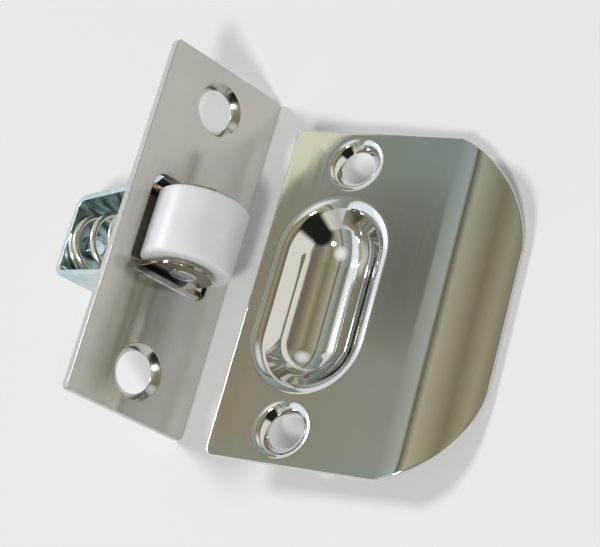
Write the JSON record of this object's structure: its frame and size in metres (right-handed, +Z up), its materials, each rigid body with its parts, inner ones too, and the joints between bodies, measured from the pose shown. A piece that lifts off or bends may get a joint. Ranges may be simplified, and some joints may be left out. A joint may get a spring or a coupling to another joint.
{
  "type": "roller catch",
  "caption": "Sprung roller catch: a nylon roller in a yoke slides through a faceplate into a strap case, with a lipped strike plate whose dish receives it.",
  "frame": {"origin": "on the floor, under the middle of the box round both halves as they lie", "axes": "+Z up, +X from the roller unit towards the strike's lip, +Y along the faceplate's length; the roller faces +X, leaning up by the angle at which the unit lies on its plate's edge and its case"},
  "size_m": [0.0756, 0.0606, 0.0218],
  "materials": {
    "chrome_plate": "polished chrome with fine polishing lines",
    "chrome_strike": "polished chrome",
    "zinc_strap": "bluish bright zinc plate",
    "bright_steel": "bright nickel plate",
    "pin_steel": "bright riveted steel",
    "spring_wire": "drawn spring wire",
    "nylon": "milky white nylon, satin"
  },
  "bodies": {
    "fixed": {"faceplate": "chrome_plate", "case": "zinc_strap", "spring": "spring_wire", "strike": "chrome_strike"},
    "carriage": {"yoke": "bright_steel", "axle_pin": "pin_steel"},
    "roller": {"roller": "nylon"}
  },
  "joints": [
    {"name": "roller_plunge", "type": "slide", "parent": "fixed", "child": "carriage", "axis": [-0.965, 0, -0.2624], "range_m": [0, 0.006], "stiffness_N_per_m": 2000, "springref_m": -0.004, "deforming": ["spring"]},
    {"name": "roller_spin", "type": "hinge", "parent": "carriage", "child": "roller", "pos_m": [-0.01079, 0.0017, 0.012], "axis": [0, 1, 0], "continuous": true}
  ]
}
